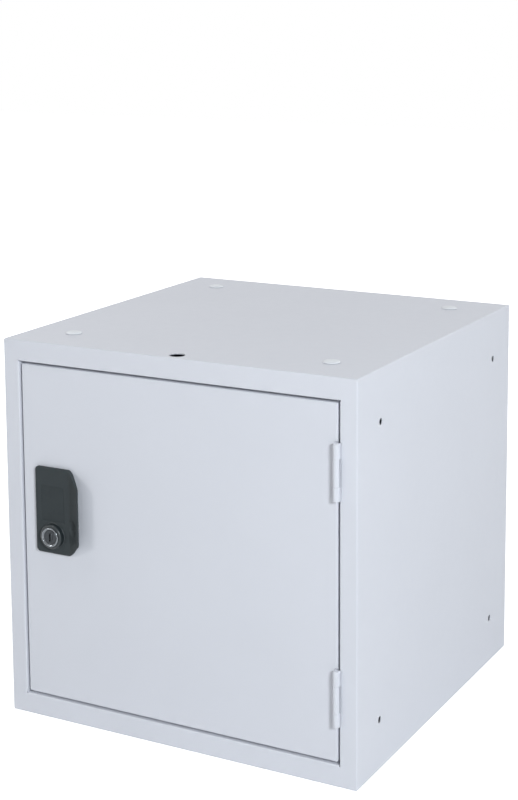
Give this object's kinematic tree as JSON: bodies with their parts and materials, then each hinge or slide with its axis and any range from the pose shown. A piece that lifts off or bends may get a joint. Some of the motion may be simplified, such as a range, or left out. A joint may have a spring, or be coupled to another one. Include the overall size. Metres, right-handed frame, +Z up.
{
  "type": "cube locker",
  "caption": "Cube-shaped sheet-steel locker with a hinged door in a folded front frame, a cam lock in a moulded pull plate, and stacking bolt holes.",
  "frame": {"origin": "middle of the body's underside", "axes": "front and door face -Y, door hung on the +X side, +Z up"},
  "size_m": [0.38, 0.3912, 0.3823],
  "materials": {
    "powder_coat": "semi-gloss powder coat, light cool grey",
    "moulded_plate": "fine moulded texture, dark grey",
    "number_plate": "matt, blank",
    "cap_plastic": "satin, light grey",
    "chrome": "polished plate",
    "plug_metal": "dark nickel, fine machined",
    "zinc": "bright zinc plate",
    "rubber": "matt black"
  },
  "bodies": {
    "carcass": {"side_panel_left": "powder_coat", "side_panel_right": "powder_coat", "top_panel": "powder_coat", "base_panel": "powder_coat", "back_panel": "powder_coat", "top_cap_front_left": "cap_plastic", "top_cap_rear_left": "cap_plastic", "top_cap_front_right": "cap_plastic", "top_cap_rear_right": "cap_plastic", "door_buffer_lower": "rubber", "door_buffer_upper": "rubber", "frame_leaf_lower": "powder_coat", "frame_leaf_upper": "powder_coat", "hinge_pin_lower": "zinc", "hinge_pin_upper": "zinc"},
    "door": {"door_panel": "powder_coat", "door_stiffener": "powder_coat", "door_leaf_lower": "powder_coat", "door_leaf_upper": "powder_coat", "hinge_rivet_lower_1": "zinc", "hinge_rivet_lower_2": "zinc", "hinge_rivet_upper_1": "zinc", "hinge_rivet_upper_2": "zinc", "lock_plate": "moulded_plate", "number_plate": "number_plate", "push_nut_lower": "zinc", "push_nut_upper": "zinc", "lock_barrel": "chrome", "lock_washer": "zinc", "lock_nut": "zinc"},
    "lock_cylinder": {"lock_plug": "plug_metal", "lock_cam": "zinc", "cam_washer": "zinc", "cam_screw": "zinc"}
  },
  "joints": [
    {"name": "door_hinge", "type": "hinge", "parent": "carcass", "child": "door", "pos_m": [0.1706, -0.193, 0.19], "axis": [0, 0, 1], "range_deg": [0, 170]},
    {"name": "lock_turn", "type": "hinge", "parent": "door", "child": "lock_cylinder", "pos_m": [-0.134, -0.189, 0.19], "axis": [0, 1, 0], "range_deg": [0, 90]}
  ]
}
